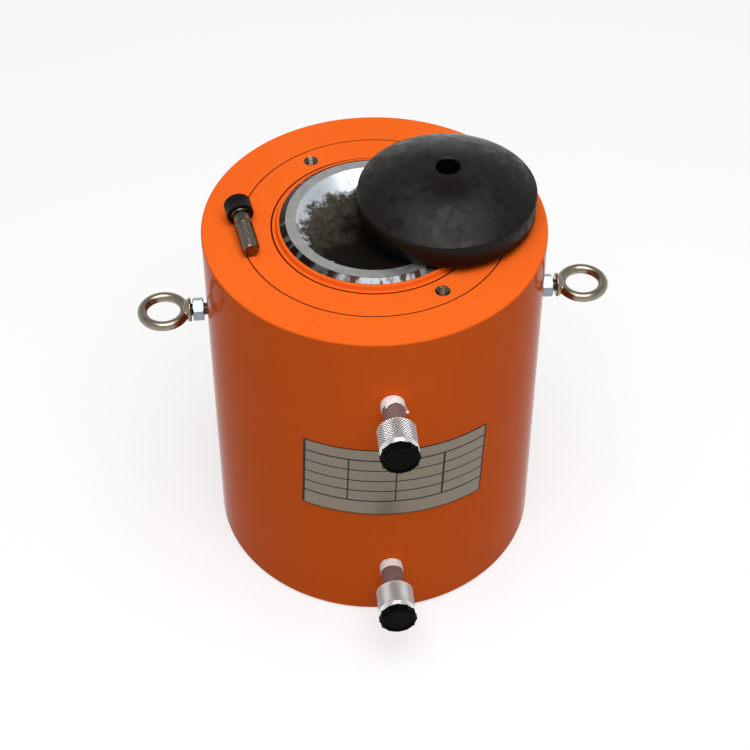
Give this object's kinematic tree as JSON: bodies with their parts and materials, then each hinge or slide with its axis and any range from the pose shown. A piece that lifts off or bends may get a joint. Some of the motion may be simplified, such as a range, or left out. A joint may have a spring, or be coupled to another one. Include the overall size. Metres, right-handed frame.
{
  "type": "double-acting hydraulic cylinder",
  "caption": "Short heavy double-acting hydraulic cylinder with dished rod, loose tilt saddle and screw, quick couplers with caps, lifting eyes and a data plate.",
  "frame": {"origin": "centre of the flat base face", "axes": "+Z along the rod, outwards; both couplers on the -Y side; lifting eyes on the X axis"},
  "size_m": [0.4382, 0.3776, 0.4166],
  "materials": {
    "orange_enamel": "gloss",
    "hard_chrome": "polished",
    "machined_steel": "machined",
    "black_oxide_steel": "satin",
    "stainless_steel": "polished",
    "zinc_plated_steel": "bright",
    "phosphated_steel": "satin",
    "ptfe_tape": "matte",
    "black_nylon": "satin",
    "nitrile_rubber": "matte",
    "polyurethane": "satin",
    "bronze_filled_ptfe": "matte",
    "spring_steel": "drawn",
    "printed_aluminium": "satin"
  },
  "bodies": {
    "cylinder": {"cylinder_body": "orange_enamel", "gland_nut": "orange_enamel", "gland_o_ring": "nitrile_rubber", "gland_backup_ring": "bronze_filled_ptfe", "rod_seal": "polyurethane", "rod_seal_backup_ring": "bronze_filled_ptfe", "rod_guide_bands": "bronze_filled_ptfe", "rod_wiper": "orange_enamel", "left_eye_bolt": "stainless_steel", "left_eye_nut": "stainless_steel", "right_eye_bolt": "stainless_steel", "right_eye_nut": "stainless_steel", "data_plate": "printed_aluminium", "upper_coupler_body": "phosphated_steel", "upper_thread_tape": "ptfe_tape", "upper_collar_stop_ring": "spring_steel", "upper_poppet_spring": "spring_steel", "upper_spring_retainer": "machined_steel", "upper_socket_o_ring": "nitrile_rubber", "lower_coupler_body": "phosphated_steel", "lower_thread_tape": "ptfe_tape", "lower_collar_stop_ring": "spring_steel", "lower_poppet_spring": "spring_steel", "lower_spring_retainer": "machined_steel", "lower_socket_o_ring": "nitrile_rubber"},
    "plunger": {"plunger_rod": "hard_chrome", "piston": "machined_steel", "piston_seal": "polyurethane", "piston_wear_rings": "bronze_filled_ptfe", "piston_o_ring": "nitrile_rubber", "piston_lock_screws": "black_oxide_steel"},
    "saddle": {"saddle": "black_oxide_steel"},
    "saddle_screw": {"saddle_screw": "black_oxide_steel"},
    "upper_collar": {"upper_coupler_collar": "zinc_plated_steel"},
    "upper_cap": {"upper_dust_cap": "black_nylon"},
    "upper_poppet": {"upper_poppet": "machined_steel"},
    "lower_collar": {"lower_coupler_collar": "zinc_plated_steel"},
    "lower_cap": {"lower_dust_cap": "black_nylon"},
    "lower_poppet": {"lower_poppet": "machined_steel"}
  },
  "joints": [
    {"name": "plunger_slide", "type": "slide", "parent": "cylinder", "child": "plunger", "axis": [0, 0, 1], "range_m": [0, 0.15]},
    {"name": "saddle_lift", "type": "slide", "parent": "plunger", "child": "saddle", "axis": [0, 0, 1], "range_m": [0, 0.08]},
    {"name": "screw_lift", "type": "slide", "parent": "cylinder", "child": "saddle_screw", "axis": [0, 0, 1], "range_m": [0, 0.06]},
    {"name": "upper_collar_turn", "type": "hinge", "parent": "cylinder", "child": "upper_collar", "pos_m": [0, -0.193, 0.2892], "axis": [0, -1, 0], "continuous": true},
    {"name": "upper_cap_pull", "type": "slide", "parent": "upper_collar", "child": "upper_cap", "axis": [0, -1, 0], "range_m": [0, 0.03]},
    {"name": "upper_poppet_push", "type": "slide", "parent": "cylinder", "child": "upper_poppet", "axis": [0, 1, 0], "range_m": [0, 0.003], "stiffness_N_per_m": 1500, "deforming": ["upper_poppet_spring"]},
    {"name": "lower_collar_turn", "type": "hinge", "parent": "cylinder", "child": "lower_collar", "pos_m": [0, -0.193, 0.068], "axis": [0, -1, 0], "continuous": true},
    {"name": "lower_cap_pull", "type": "slide", "parent": "lower_collar", "child": "lower_cap", "axis": [0, -1, 0], "range_m": [0, 0.03]},
    {"name": "lower_poppet_push", "type": "slide", "parent": "cylinder", "child": "lower_poppet", "axis": [0, 1, 0], "range_m": [0, 0.003], "stiffness_N_per_m": 1500, "deforming": ["lower_poppet_spring"]}
  ]
}
